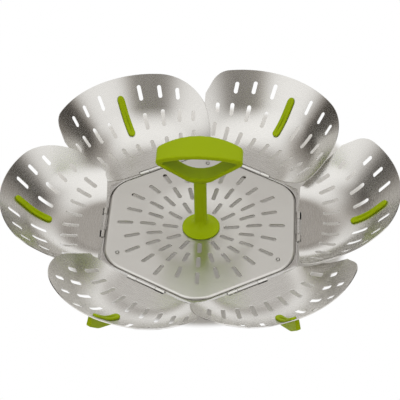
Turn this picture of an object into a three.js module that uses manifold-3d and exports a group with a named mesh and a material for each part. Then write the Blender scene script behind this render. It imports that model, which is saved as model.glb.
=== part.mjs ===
// Folding steamer basket: six lapping petals hinged to a hexagonal base frame, a slotted plate
// riveted into the frame on three legs, and a moulded post with a loop handle.
// Millimetres, +Z up, the origin on the table under the middle of the plate.

import * as THREE from "three";
import { mergeVertices } from "three/addons/utils/BufferGeometryUtils.js";
import Module from "manifold-3d";

const wasm = await Module();
wasm.setup();

const degree = Math.PI / 180;
const fullTurn = 2 * Math.PI;
const quarterTurn = Math.PI / 2;

// Shared values
const petalCount = 6;
const clearance = 0.3; // gap between pieces that touch or turn in each other
const seatGap = 0.15; // gap under rivet heads and moulded strips
const overrun = 2; // how far a cut runs past what it cuts
const slotEndSteps = 2;

// Base plate: a dish with a rounded hexagon outline and a turned-down rim
const plateHeight = 25; // top face above the table
const plateApothem = 69.3;
const plateCornerRadius = 24;
const plateThickness = 0.8;
const plateRimDepth = 2.6;
const plateRimRadius = 1.6;
const plateRoundSteps = 48;
const dishDepth = 3.5;
const dishFloorMargin = 1; // flat floor past the handle's disc
const dishSlopeWidth = 32;

// Slots of the plate, in rows from the outside in
const plateSlotLength = 11.9;
const plateSlotWidth = 3.3;
const plateSlotMargin = 7.1; // from the slots' outer ends to the plate's flat sides
const plateSlotPitch = 16.8;
const plateSlotStagger = 4.25;
const plateSlotDirections = 24;
const mainRows = 3;
const staggeredRows = 2;

// Base frame: a stamped tray ring round and under the plate
const frameThickness = 0.8;
const framePlateGap = 0.9; // dark gap round the plate
const frameBorderWidth = 1.2; // at the middle of a side
const frameBorderDrop = 0.6; // border top below the plate's top
const frameCornerRadius = 1.5;
const frameOpeningMargin = 0.8; // from the plate's slots to the frame's opening
const frameOpeningSteps = 36;
const frameCornerSteps = 4;

// Hinges
const hingeStandoff = 0.6; // axis outside the frame's edge
const pinRadius = 0.6;
const barrelRadius = 1.35;
const barrelSteps = 10;
const frameKnuckleLength = 16.2;
const petalKnuckleLength = 7.3;
const knuckleRelief = 0.85; // gap between the frame's knuckle and the petal's cut-out

// Petals: trimmed pieces of a bowl, set in a frame that is shifted and turned against the hinge
const petalThickness = 0.6;
const petalShift = 5.2; // towards the anticlockwise neighbour
const petalTwist = -3.1 * degree;
const bowlAxisSetback = 2.82; // bowl axis inside the hinge line
const bowlAxisSide = -1.31;
const bowlFlatRadius = 23.8;
const bowlCurveRadius = 45.5;
const bowlWallAngle = 49.7 * degree;
const bowlCurveSteps = 4;
const bowlRoundSteps = 20;
const petalRimRadius = 75.8;
const bowlWallLength = petalRimRadius - bowlFlatRadius; // before the trim
const petalSideRadius = 43;
const petalSideAngle = 26.9 * degree;
const petalLappedSideRadius = 20; // the same on the side under the neighbour
const petalLappedSideAngle = 43.8 * degree;
const petalRimSteps = 8;
const petalSideSteps = 5;
const petalEdgeGap = 0.2; // root edge outside the hinge axis
const petalEdgeRise = 1.1; // extra gap at the ends of the root edge
const petalEdgeStraightShare = 0.4; // share of the half side before the root edge slants out
const petalCornerInset = 0.6; // lapped corner inside the hexagon's corner
const petalLapAngle = 47 * degree; // direction of the cut on the lapped side
const petalLapReach = 12; // where the cut turns outward
const petalLapTurn = 24 * degree; // its direction from there
const petalCornerCut = 1.5;

// Slots of the petals: rows along ellipses, fanned out, in shares of the rim's radius
const petalSlotWidth = 3.2;
const petalSlotTop = 3; // slot cutter above the sheet's inner face
const petalSlotTaper = 240; // and down to its point, so that its sides stay square to the sheet
const petalSlotRows = [
  {
    centre: -0.1095, reach: 0.4354, side: 0.8206, step: 10.6 * degree, fan: 1.1346, length: 0.1715,
    places: [-4, -3, -2, -1, 0, 1, 2, 3, 4], lengthShares: [1, 1, 1, 1, 0.92],
  },
  {
    centre: 0.1649, reach: 0.4485, side: 0.7322, step: 14.9 * degree, fan: 1.1609, length: 0.1794,
    places: [-4, -3, -2, -1, 1, 2, 3, 4], lengthShares: [0, 1, 1, 0.76, 0.6],
  },
  {
    centre: 0.3351, reach: 0.5013, side: 0.7084, step: 17.6 * degree, fan: 1.847, length: 0.1636,
    places: [-3, -2, -1, 1, 2, 3], lengthShares: [0, 1, 0.82, 0.75],
  },
];

// Moulded strip inside each petal and its rib outside
const stripStart = 38.7;
const stripEnd = 64;
const stripWidth = 5.5;
const stripHeight = 1.5;
const webWidth = 2.6;
const webInset = 7.3; // web inside the strip's ends
const ribThickness = 3.2;
const ribRoot = 40.5; // where the rib starts under the petal
const ribHeel = 46;
const ribHeelHeight = 3.4; // above the hinge axis
const ribHeelRadius = 7;
const ribBelly = 61.8;
const ribBellyHeight = 12.5;
const ribBellyRadius = 18;
const ribToe = 70.8;
const ribToeHeight = 22.2;
const ribToeRadius = 1.8;
const ribTop = 66.4;
const ribTopHeight = 31.5;

// Handle: heights above the plate's top
const loopHalfWidth = 34.6; // to the crossing of arch and side, before rounding
const loopCornerHeight = 67;
const loopCornerRadius = 3.8;
const loopPeakHeight = 83.8; // crossing of the arch's end tangents
const archFillShare = 0.98; // share of the room between the corners that the arch's round takes
const loopNeckHeight = 44.8;
const loopStrap = 3; // thickness of the sides
const archStrap = 3.8; // thickness of the top
const fingerHoleCornerRadius = 2;
const fingerHoleBottomRadius = 20.5;
const loopDepth = 22.8;
const loopEndDepth = 15.5;
const loopEndReach = 29;
const loopEndRadius = 7; // of the loop's ends in plan
const loopShoulderHeight = 72;
const loopSideDepth = 15; // at the upper end of the sides
const loopSideHeight = 66;
const loopWaistDepth = 13;
const loopWaistHeight = 48;
const postWidth = 9.2;
const postDepth = 8;
const postRadius = 2.5;
const discRadius = 14;
const discEdge = 1.4;
const discFlareHeight = 7;
const archSteps = 10;
const cornerSteps = 3;

// Handle screw and washer
const screwRadius = 2;
const screwLength = 22;
const screwHeadRadius = 4;
const screwHeadHeight = 2.6;
const screwHeadEdge = 1.4;
const screwHeadFace = 2.6;
const washerRadius = 6;
const washerThickness = 1;
const screwSteps = 12;

// Legs and their rivets
const legCount = 3;
const legInset = 4.5; // leg's middle outside the frame's opening
const legTurn = -1.6 * degree; // the three legs and rivets off the hexagon's corners
const legRadius = 5;
const legFootRadius = 5.6;
const legEdgeRadius = 0.8;
const legNeckRadius = 2.9;
const legSteps = 14;
const rivetHeadRadius = 1.6;
const rivetHeadHeight = 0.5;
const rivetShankRadius = 0.9;
const rivetDepth = 9; // shank inside the leg
const rivetSteps = 10;

// Levels and radii that follow
const dishFloorRadius = discRadius + dishFloorMargin;
const dishEdgeRadius = dishFloorRadius + dishSlopeWidth;
const dishFloorTop = plateHeight - dishDepth;
const plateUnderside = plateHeight - plateThickness;
const slotFieldRadius = plateApothem - plateSlotMargin;
const recessApothem = plateApothem + framePlateGap;
const recessCornerRadius = plateCornerRadius + framePlateGap;
const frameApothem = recessApothem + frameBorderWidth;
const frameTop = plateHeight - frameBorderDrop;
const frameFloorTop = plateHeight - plateRimDepth - clearance;
const frameBottom = frameFloorTop - frameThickness;
const frameOpeningRadius = slotFieldRadius + frameOpeningMargin;
const legCircleRadius = frameOpeningRadius + legInset;
const boreRadius = pinRadius + clearance;
const hingeApothem = frameApothem + hingeStandoff;
const hingeHeight = frameTop - frameThickness / 2;
const hingeHalfSide = hingeApothem * Math.tan(Math.PI / petalCount);
const petalKnuckleStart = frameKnuckleLength / 2 + clearance;
const petalKnuckleEnd = petalKnuckleStart + petalKnuckleLength;
const handleBottom = dishFloorTop + clearance;
const webStart = stripStart + webInset;
const webEnd = stripEnd - webInset;

// Materials
const steel = new THREE.MeshStandardMaterial({ color: 0xc9c5bf, roughness: 0.32, metalness: 1 });
const darkSteel = new THREE.MeshStandardMaterial({ color: 0x9a9793, roughness: 0.45, metalness: 1 });
const green = new THREE.MeshStandardMaterial({ color: 0x93ab0a, roughness: 0.5, metalness: 0 });

// Points and closed solids

function arc(centreX, centreY, radius, from, to, steps) {
  const points = [];
  for (let i = 0; i <= steps; i += 1) {
    const angle = from + ((to - from) * i) / steps;
    points.push(new THREE.Vector2(centreX + radius * Math.cos(angle), centreY + radius * Math.sin(angle)));
  }
  return points;
}

// Corners { x, y, radius } in anticlockwise order, each rounded by an arc of its radius
function roundedOutline(corners, steps) {
  return corners.flatMap((corner, i) => {
    const here = new THREE.Vector2(corner.x, corner.y);
    const before = corners[(i + corners.length - 1) % corners.length];
    const after = corners[(i + 1) % corners.length];
    if (!corner.radius) return [here];
    const back = new THREE.Vector2(before.x, before.y).sub(here).normalize();
    const ahead = new THREE.Vector2(after.x, after.y).sub(here).normalize();
    const half = Math.acos(back.dot(ahead)) / 2;
    const middle = back.clone().add(ahead).normalize().multiplyScalar(corner.radius / Math.sin(half));
    const sense = Math.sign(back.y * ahead.x - back.x * ahead.y);
    const swing = sense * (quarterTurn - half);
    const facing = Math.atan2(-middle.y, -middle.x);
    const centre = here.clone().add(middle);
    return arc(centre.x, centre.y, corner.radius, facing - swing, facing + swing, corner.steps ?? steps);
  });
}

// Slot outline along X about the origin, with round ends
function slotOutline(length, width) {
  const radius = width / 2;
  const reach = length / 2 - radius;
  return [
    ...arc(reach, 0, radius, -quarterTurn, quarterTurn, slotEndSteps),
    ...arc(-reach, 0, radius, quarterTurn, quarterTurn + Math.PI, slotEndSteps),
  ];
}

// Solid from a closed geometry, with its faces turned outwards
function solidOf(geometry) {
  const bare = geometry.clone();
  bare.deleteAttribute("normal");
  bare.deleteAttribute("uv");
  const merged = mergeVertices(bare);
  const places = merged.getAttribute("position").array;
  const index = merged.getIndex().array;
  const faces = [];
  let volume = 0;
  for (let i = 0; i < index.length; i += 3) {
    const [a, b, c] = [index[i], index[i + 1], index[i + 2]];
    if (a === b || b === c || c === a) continue;
    faces.push([a, b, c]);
    const corners = [a, b, c].map((k) => new THREE.Vector3().fromArray(places, 3 * k));
    volume += corners[0].dot(corners[1].cross(corners[2]));
  }
  if (volume < 0) faces.forEach((face) => face.reverse());
  const mesh = new wasm.Mesh({
    numProp: 3,
    vertProperties: new Float32Array(places),
    triVerts: new Uint32Array(faces.flat()),
  });
  return new wasm.Manifold(mesh);
}

function joined(solids) {
  return solids.reduce((sum, solid) => sum.add(solid));
}

function placed(geometry, matrix) {
  return solidOf(geometry.clone().applyMatrix4(matrix));
}

function prism(points, low, high) {
  const shape = new THREE.Shape(points);
  const geometry = new THREE.ExtrudeGeometry(shape, { depth: high - low, bevelEnabled: false });
  return geometry.translate(0, 0, low);
}

// Prism drawn in to one point below, which leaves fewer edges where it cuts a thin sheet
function spike(points, high, depth) {
  const geometry = prism(points, -depth, high);
  const places = geometry.getAttribute("position");
  for (let i = 0; i < places.count; i += 1) {
    if (places.getZ(i) < 0) places.setXY(i, 0, 0);
  }
  return geometry;
}

function box(lowX, highX, lowY, highY, lowZ, highZ) {
  const geometry = new THREE.BoxGeometry(highX - lowX, highY - lowY, highZ - lowZ);
  return geometry.translate((lowX + highX) / 2, (lowY + highY) / 2, (lowZ + highZ) / 2);
}

// Closed profile of [radius, height] pairs turned about the vertical axis
function revolved(profile, steps) {
  const points = profile.map(([radius, height]) => new THREE.Vector2(radius, height));
  return new THREE.LatheGeometry(points, steps).rotateX(quarterTurn);
}

function column(radius, low, high, steps) {
  const geometry = new THREE.CylinderGeometry(radius, radius, high - low, steps);
  return geometry.rotateX(quarterTurn).translate(0, 0, (low + high) / 2);
}

// Rod along Y at the hinge axis
function rod(radius, from, to) {
  const geometry = new THREE.CylinderGeometry(radius, radius, to - from, barrelSteps);
  return geometry.translate(0, (from + to) / 2, 0);
}

function geometryOf(solid) {
  const { numProp, vertProperties, triVerts } = solid.getMesh();
  const geometry = new THREE.BufferGeometry();
  geometry.setAttribute("position", new THREE.BufferAttribute(new Float32Array(vertProperties), numProp));
  geometry.setIndex(new THREE.BufferAttribute(new Uint32Array(triVerts), 1));
  geometry.computeVertexNormals();
  return geometry;
}

function part(name, geometry, material) {
  const mesh = new THREE.Mesh(geometry, material);
  mesh.name = name;
  return mesh;
}

// Hexagon with its flats facing 0, 60, ... degrees and rounded corners

function hexagonOutline(apothem, radius, steps) {
  const reach = apothem / Math.cos(Math.PI / petalCount);
  const corners = [];
  for (let i = 0; i < petalCount; i += 1) {
    const angle = ((2 * i + 1) * Math.PI) / petalCount;
    corners.push({ x: reach * Math.cos(angle), y: reach * Math.sin(angle), radius });
  }
  return roundedOutline(corners, steps);
}

function hexagonRadius(angle, apothem, radius) {
  const halfSector = Math.PI / petalCount;
  const inSector = angle % (2 * halfSector);
  const fromFlat = Math.min(inSector, 2 * halfSector - inSector);
  if (apothem * Math.tan(fromFlat) <= (apothem - radius) * Math.tan(halfSector)) {
    return apothem / Math.cos(fromFlat);
  }
  const centre = (apothem - radius) / Math.cos(halfSector);
  const offset = centre * Math.sin(halfSector - fromFlat);
  return centre * Math.cos(halfSector - fromFlat) + Math.sqrt(radius * radius - offset * offset);
}

// Base plate

function plateRing(radiusAt, height) {
  const ring = [];
  for (let i = 0; i < plateRoundSteps; i += 1) {
    const angle = (i * fullTurn) / plateRoundSteps;
    const radius = radiusAt(angle);
    ring.push([radius * Math.cos(angle), radius * Math.sin(angle), height]);
  }
  return ring;
}

function plateBlank() {
  const circle = (radius, height) => plateRing(() => radius, height);
  const outline = (inset, height) =>
    plateRing((angle) => hexagonRadius(angle, plateApothem - inset, plateCornerRadius - inset), height);
  const rimCurve = [0, 45, 90].map((angle) => {
    const inset = plateRimRadius * (1 - Math.sin(angle * degree));
    return outline(inset, plateHeight - plateRimRadius * (1 - Math.cos(angle * degree)));
  });
  const rings = [
    circle(0, dishFloorTop),
    circle(dishFloorRadius, dishFloorTop),
    circle(dishEdgeRadius, plateHeight),
    ...rimCurve,
    outline(0, plateHeight - plateRimDepth),
    outline(plateThickness, plateHeight - plateRimDepth),
    outline(plateThickness, plateHeight - plateRimRadius),
    outline(plateRimRadius, plateUnderside),
    circle(dishEdgeRadius, plateUnderside),
    circle(dishFloorRadius, dishFloorTop - plateThickness),
    circle(0, dishFloorTop - plateThickness),
  ];
  const index = [];
  for (let row = 0; row + 1 < rings.length; row += 1) {
    for (let i = 0; i < plateRoundSteps; i += 1) {
      const next = (i + 1) % plateRoundSteps;
      const here = row * plateRoundSteps;
      const below = here + plateRoundSteps;
      index.push(here + i, below + i, below + next, here + i, below + next, here + next);
    }
  }
  const geometry = new THREE.BufferGeometry();
  geometry.setAttribute("position", new THREE.Float32BufferAttribute(rings.flat(2), 3));
  geometry.setIndex(index);
  return solidOf(geometry);
}

function plateSlots() {
  const low = dishFloorTop - overrun;
  const slot = prism(slotOutline(plateSlotLength, plateSlotWidth), low, plateHeight + overrun);
  const outer = slotFieldRadius - plateSlotLength / 2;
  const solids = [];
  for (let i = 0; i < plateSlotDirections; i += 1) {
    const staggered = i % 2 === 1;
    const rows = staggered ? staggeredRows : mainRows;
    const start = staggered ? outer - plateSlotStagger : outer;
    const turn = new THREE.Matrix4().makeRotationZ((i * fullTurn) / plateSlotDirections);
    for (let row = 0; row < rows; row += 1) {
      const shift = new THREE.Matrix4().makeTranslation(start - row * plateSlotPitch, 0, 0);
      solids.push(placed(slot, turn.clone().multiply(shift)));
    }
  }
  return solids;
}

// Legs stand under every second corner
function legMatrices() {
  const matrices = [];
  for (let i = 0; i < legCount; i += 1) {
    const angle = quarterTurn + legTurn + (i * fullTurn) / legCount;
    const turn = new THREE.Matrix4().makeRotationZ(angle);
    matrices.push(turn.multiply(new THREE.Matrix4().makeTranslation(legCircleRadius, 0, 0)));
  }
  return matrices;
}

function basePlate() {
  const low = dishFloorTop - overrun;
  const high = plateHeight + overrun;
  const screwHole = solidOf(column(screwRadius + clearance, low, high, screwSteps));
  const rivetHole = column(rivetShankRadius + clearance, low, high, rivetSteps);
  const rivetHoles = legMatrices().map((matrix) => placed(rivetHole, matrix));
  return plateBlank().subtract(joined([...plateSlots(), screwHole, ...rivetHoles]));
}

// Base frame

function sideMatrix(i) {
  const turn = new THREE.Matrix4().makeRotationZ((i * fullTurn) / petalCount);
  return turn.multiply(new THREE.Matrix4().makeTranslation(hingeApothem, 0, hingeHeight));
}

function baseFrame() {
  const wallOutline = hexagonOutline(recessApothem + frameThickness, recessCornerRadius + frameThickness, frameCornerSteps);
  const tray = solidOf(prism(wallOutline, frameBottom, frameTop));
  const borderOutline = hexagonOutline(frameApothem, frameCornerRadius, 1);
  const border = solidOf(prism(borderOutline, frameTop - frameThickness, frameTop));
  const recessOutline = hexagonOutline(recessApothem, recessCornerRadius, frameCornerSteps);
  const recess = solidOf(prism(recessOutline, frameFloorTop, frameTop + overrun));
  const openingHigh = frameTop + overrun;
  const opening = solidOf(column(frameOpeningRadius, frameBottom - overrun, openingHigh, frameOpeningSteps));
  const legHole = column(legNeckRadius + clearance, frameBottom - overrun, frameTop, legSteps);
  const knuckle = rod(barrelRadius, -frameKnuckleLength / 2, frameKnuckleLength / 2);
  const bore = rod(boreRadius, -petalKnuckleEnd, petalKnuckleEnd);
  const reach = barrelRadius + clearance;
  const reliefStart = frameKnuckleLength / 2;
  const reliefEnd = petalKnuckleEnd + clearance;
  const reliefs = [
    box(-reach, reach, reliefStart, reliefEnd, -reach, reach),
    box(-reach, reach, -reliefEnd, -reliefStart, -reach, reach),
  ];
  const knuckles = [];
  const cuts = [recess, opening, ...legMatrices().map((matrix) => placed(legHole, matrix))];
  for (let i = 0; i < petalCount; i += 1) {
    const side = sideMatrix(i);
    knuckles.push(placed(knuckle, side));
    cuts.push(placed(bore, side), ...reliefs.map((relief) => placed(relief, side)));
  }
  return joined([tray, border, ...knuckles]).subtract(joined(cuts));
}

// Bowl that the petals are cut from, in the petals' own frame, with heights above the hinge axis

// Inner face moved in by an offset, as [radius, height] pairs from the axis outwards
function bowlProfile(offset) {
  const centreHeight = petalThickness / 2 + bowlCurveRadius;
  const radius = bowlCurveRadius - offset;
  const points = [[0, centreHeight - radius]];
  for (let i = 0; i <= bowlCurveSteps; i += 1) {
    const angle = (bowlWallAngle * i) / bowlCurveSteps;
    points.push([bowlFlatRadius + radius * Math.sin(angle), centreHeight - radius * Math.cos(angle)]);
  }
  const [endRadius, endHeight] = points.at(-1);
  const wallRadius = endRadius + bowlWallLength * Math.cos(bowlWallAngle);
  points.push([wallRadius, endHeight + bowlWallLength * Math.sin(bowlWallAngle)]);
  return points;
}

const petalPlace = new THREE.Matrix4().makeRotationZ(petalTwist).setPosition(0, petalShift, 0);

function turnedBowl(profile) {
  const geometry = revolved(profile, bowlRoundSteps).translate(-bowlAxisSetback, bowlAxisSide, 0);
  return placed(geometry, petalPlace);
}

// Sheet between two offsets from the inner face, the lower one first
function bowlSheet(low, high) {
  return turnedBowl([...bowlProfile(low), ...bowlProfile(high).reverse()]);
}

// Everything above an offset from the inner face, up to the wall's end
function bowlFill(low) {
  const profile = bowlProfile(low);
  return turnedBowl([...profile, [0, profile.at(-1)[1]]]);
}

// Height and slope of the inner face at a place
function bowlFace(x, y) {
  const reachX = x + bowlAxisSetback;
  const reachY = y - bowlAxisSide;
  const reach = Math.hypot(reachX, reachY);
  const wallStart = bowlFlatRadius + bowlCurveRadius * Math.sin(bowlWallAngle);
  const curved = Math.min(Math.max(reach, bowlFlatRadius), wallStart) - bowlFlatRadius;
  const angle = Math.asin(curved / bowlCurveRadius);
  const past = Math.max(reach - wallStart, 0);
  const height = petalThickness / 2 + bowlCurveRadius * (1 - Math.cos(angle)) + past * Math.tan(angle);
  return { height, angle, outX: reachX / reach, outY: reachY / reach };
}

// Matrix that sets a cutter square to the sheet, with its X axis along a direction in plan
function onBowl(x, y, direction) {
  const { height, angle, outX, outY } = bowlFace(x, y);
  const up = new THREE.Vector3(-outX * Math.sin(angle), -outY * Math.sin(angle), Math.cos(angle));
  const across = new THREE.Vector3(-Math.sin(direction), Math.cos(direction), 0);
  const along = across.clone().cross(up).normalize();
  const side = up.clone().cross(along);
  return new THREE.Matrix4().makeBasis(along, side, up).setPosition(x, y, height);
}

// Petals

// Side from the rim's end back to the root: a round, and a straight run where the round falls short
function petalSide(radius, angle) {
  const reach = petalRimRadius - radius;
  const x = reach * Math.cos(angle) - bowlAxisSetback;
  const y = reach * Math.sin(angle);
  const short = x + overrun > radius;
  const rootAngle = short ? quarterTurn : quarterTurn + Math.asin((x + overrun) / radius);
  const side = arc(x, y, radius, angle, rootAngle, petalSideSteps);
  return short ? [...side, new THREE.Vector2(-overrun, y + radius)] : side;
}

function petalOutline() {
  const from = -petalSideAngle;
  const rim = arc(-bowlAxisSetback, 0, petalRimRadius, from, petalLappedSideAngle, petalRimSteps);
  const left = petalSide(petalLappedSideRadius, petalLappedSideAngle);
  const right = petalSide(petalSideRadius, petalSideAngle).map(({ x, y }) => new THREE.Vector2(x, -y)).reverse();
  return [...right.slice(0, -1), ...rim, ...left.slice(1)];
}

// Ground that a petal may fill: outside its root edge, and short of its neighbour on the lapped side
function petalBounds() {
  const far = petalRimRadius + overrun;
  const edge = petalEdgeGap + petalEdgeRise;
  const straight = hingeHalfSide * petalEdgeStraightShare;
  const corner = hingeHalfSide - petalCornerInset;
  const lapX = edge + petalLapReach;
  const lapY = corner + petalLapReach * Math.tan(petalLapAngle);
  return [
    [edge, -corner],
    [edge + petalCornerCut, -corner - 2 * petalCornerCut],
    [edge + petalCornerCut, -far],
    [far, -far],
    [far, lapY + (far - lapX) * Math.tan(petalLapTurn)],
    [lapX, lapY],
    [edge, corner],
    [petalEdgeGap, straight],
    [petalEdgeGap, -straight],
  ].map(([x, y]) => new THREE.Vector2(x, y));
}

function petalSlots() {
  return petalSlotRows.flatMap((row) => row.places.map((place) => {
    const angle = place * row.step;
    const x = petalRimRadius * (row.centre + row.reach * Math.cos(angle));
    const y = petalRimRadius * row.side * Math.sin(angle);
    const length = petalRimRadius * row.length * row.lengthShares[Math.abs(place)];
    const cutter = spike(slotOutline(length, petalSlotWidth), petalSlotTop, petalSlotTaper);
    return placed(cutter, petalPlace.clone().multiply(onBowl(x, y, Math.atan(y / (petalRimRadius * row.fan)))));
  }));
}

function petal() {
  const outline = placed(prism(petalOutline(), -overrun, petalRimRadius), petalPlace);
  const bounds = solidOf(prism(petalBounds(), -overrun, petalRimRadius));
  const blank = bowlSheet(-petalThickness, 0).intersect(outline).intersect(bounds);
  const tabReach = barrelRadius + knuckleRelief;
  const halfSheet = petalThickness / 2;
  const tabs = [petalKnuckleStart, -petalKnuckleEnd].flatMap((start) => {
    const end = start + petalKnuckleLength;
    return [rod(barrelRadius, start, end), box(0, tabReach, start, end, -halfSheet, halfSheet)];
  });
  const bore = rod(boreRadius, -petalKnuckleEnd - overrun, petalKnuckleEnd + overrun);
  const relief = box(-overrun, tabReach, -petalKnuckleStart, petalKnuckleStart, -overrun, overrun);
  const webOutline = slotOutline(webEnd - webStart + 2 * clearance, webWidth + 2 * clearance);
  const webSlot = prism(webOutline, 0, petalRimRadius).translate((webStart + webEnd) / 2, 0, 0);
  const cuts = [...petalSlots(), solidOf(bore), solidOf(relief), placed(webSlot, petalPlace)];
  return joined([blank, ...tabs.map(solidOf)]).subtract(joined(cuts));
}

// Moulded strip on the middle of a petal, joined through its slot to the rib behind

function petalFoot() {
  const stripTop = seatGap + stripHeight;
  const middle = (stripStart + stripEnd) / 2;
  const stripPlan = prism(slotOutline(stripEnd - stripStart, stripWidth), 0, petalRimRadius);
  const strip = placed(stripPlan.translate(middle, 0, 0), petalPlace).intersect(bowlSheet(seatGap, stripTop));
  const webPlan = prism(slotOutline(webEnd - webStart, webWidth), 0, petalRimRadius);
  const webBottom = -petalThickness - seatGap - stripHeight;
  const web = placed(webPlan.translate(middle, 0, 0), petalPlace).intersect(bowlSheet(webBottom, stripTop));
  const ribCorners = [
    { x: ribRoot, y: bowlFace(ribRoot, 0).height },
    { x: ribHeel, y: ribHeelHeight, radius: ribHeelRadius },
    { x: ribBelly, y: ribBellyHeight, radius: ribBellyRadius },
    { x: ribToe, y: ribToeHeight, radius: ribToeRadius },
    { x: ribTop, y: ribTopHeight },
  ];
  const ribPlan = prism(roundedOutline(ribCorners, cornerSteps), -ribThickness / 2, ribThickness / 2);
  const rib = placed(ribPlan.rotateX(quarterTurn), petalPlace).subtract(bowlFill(-petalThickness - seatGap));
  return joined([rib, web, strip]);
}

// Handle

const sideSlope = (loopCornerHeight - loopNeckHeight) / (loopHalfWidth - postWidth / 2);

// Right corner, arched top and left corner of the loop's outline or of its finger hole
function archCorners(x, y, peakY, cornerRadius) {
  const archAngle = Math.atan2(peakY - y, x);
  const cornerRun = cornerRadius / Math.tan((Math.atan(sideSlope) + archAngle) / 2);
  const room = Math.hypot(x, peakY - y) - cornerRun;
  const archRadius = (archFillShare * room) / Math.tan(archAngle);
  return [
    { x, y, radius: cornerRadius },
    { x: 0, y: peakY, radius: archRadius, steps: archSteps },
    { x: -x, y, radius: cornerRadius },
  ];
}

function loopOutline() {
  const neckX = postWidth / 2;
  const neckY = plateHeight + loopNeckHeight;
  const cornerY = plateHeight + loopCornerHeight;
  const top = archCorners(loopHalfWidth, cornerY, plateHeight + loopPeakHeight, loopCornerRadius);
  return roundedOutline([{ x: neckX, y: neckY }, ...top, { x: -neckX, y: neckY }], cornerSteps);
}

function fingerHoleOutline() {
  const archSlope = (loopPeakHeight - loopCornerHeight) / loopHalfWidth;
  const neckCrossing = plateHeight + loopNeckHeight - (sideSlope * postWidth) / 2;
  const bottomY = neckCrossing + loopStrap * Math.hypot(1, sideSlope);
  const peakY = plateHeight + loopPeakHeight - archStrap * Math.hypot(1, archSlope);
  const cornerX = (peakY - bottomY) / (sideSlope + archSlope);
  const cornerY = bottomY + sideSlope * cornerX;
  const bottom = { x: 0, y: bottomY, radius: fingerHoleBottomRadius };
  return roundedOutline([bottom, ...archCorners(cornerX, cornerY, peakY, fingerHoleCornerRadius)], cornerSteps);
}

// Plan of the loop: two flat arcs, deepest in the middle
function loopPlan() {
  const sag = (loopDepth - loopEndDepth) / 2;
  const radius = (loopEndReach * loopEndReach + sag * sag) / (2 * sag);
  const end = loopEndRadius;
  const swing = Math.asin((loopHalfWidth - end) / (radius - end));
  const centre = loopDepth / 2 - radius;
  const endX = (radius - end) * Math.sin(swing);
  const endY = centre + (radius - end) * Math.cos(swing);
  return [
    ...arc(0, centre, radius, quarterTurn - swing, quarterTurn + swing, archSteps),
    ...arc(-endX, endY, end, quarterTurn + swing, Math.PI, cornerSteps).slice(1),
    ...arc(-endX, -endY, end, Math.PI, Math.PI + quarterTurn - swing, cornerSteps),
    ...arc(0, -centre, radius, -quarterTurn - swing, -quarterTurn + swing, archSteps).slice(1),
    ...arc(endX, -endY, end, swing - quarterTurn, 0, cornerSteps).slice(1),
    ...arc(endX, endY, end, 0, quarterTurn - swing, cornerSteps).slice(0, -1),
  ];
}

// Side view of the loop: it narrows down to the post
function loopSide() {
  const half = [
    [postDepth / 2, loopNeckHeight],
    [loopWaistDepth / 2, loopWaistHeight],
    [loopSideDepth / 2, loopSideHeight],
    [loopDepth / 2, loopShoulderHeight],
    [loopDepth / 2, loopPeakHeight],
  ];
  const right = half.map(([y, z]) => new THREE.Vector2(y, plateHeight + z));
  const left = half.map(([y, z]) => new THREE.Vector2(-y, plateHeight + z)).reverse();
  return [...right, ...left];
}

function handle() {
  const axisX = new THREE.Vector3(1, 0, 0);
  const axisY = new THREE.Vector3(0, 1, 0);
  const axisZ = new THREE.Vector3(0, 0, 1);
  const alongX = new THREE.Matrix4().makeBasis(axisY, axisZ, axisX);
  const front = solidOf(prism(loopOutline(), -loopDepth, loopDepth).rotateX(quarterTurn));
  const plan = solidOf(prism(loopPlan(), plateHeight, plateHeight + loopPeakHeight));
  const side = placed(prism(loopSide(), -loopHalfWidth, loopHalfWidth), alongX);
  const fingerHole = solidOf(prism(fingerHoleOutline(), -loopDepth, loopDepth).rotateX(quarterTurn));
  const loop = front.intersect(plan).intersect(side);
  const postTop = plateHeight + loopNeckHeight + loopStrap / 2;
  const postOutline = roundedOutline([
    { x: postWidth / 2, y: -postDepth / 2, radius: postRadius },
    { x: postWidth / 2, y: postDepth / 2, radius: postRadius },
    { x: -postWidth / 2, y: postDepth / 2, radius: postRadius },
    { x: -postWidth / 2, y: -postDepth / 2, radius: postRadius },
  ], cornerSteps);
  const post = solidOf(prism(postOutline, handleBottom, postTop));
  const discTop = handleBottom + discEdge;
  const flareWidth = discRadius - postWidth / 2;
  const flare = arc(discRadius, discTop + discFlareHeight, discFlareHeight, -quarterTurn, -Math.PI, cornerSteps);
  const flareProfile = flare.map(({ x, y }) => [
    discRadius + ((x - discRadius) * flareWidth) / discFlareHeight, y,
  ]);
  const disc = solidOf(revolved([
    [0, handleBottom],
    [discRadius, handleBottom],
    ...flareProfile,
    [0, discTop + discFlareHeight],
  ], 2 * screwSteps));
  const boreTop = handleBottom + screwLength;
  const bore = solidOf(column(screwRadius + clearance, handleBottom - overrun, boreTop, screwSteps));
  return joined([loop, post, disc]).subtract(fingerHole).subtract(bore);
}

// Fasteners and legs

const washerTop = dishFloorTop - plateThickness - clearance;
const screwHeadTop = washerTop - washerThickness - clearance;

function handleWasher() {
  const low = washerTop - washerThickness;
  const bore = screwRadius + clearance;
  return revolved([[bore, low], [washerRadius, low], [washerRadius, washerTop], [bore, washerTop], [bore, low]],
    screwSteps);
}

function handleScrew() {
  const low = screwHeadTop - screwHeadHeight;
  return revolved([
    [0, low],
    [screwHeadFace, low],
    [screwHeadRadius, screwHeadTop - screwHeadEdge],
    [screwHeadRadius, screwHeadTop],
    [screwRadius, screwHeadTop],
    [screwRadius, screwHeadTop + screwLength],
    [0, screwHeadTop + screwLength],
  ], screwSteps);
}

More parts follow.
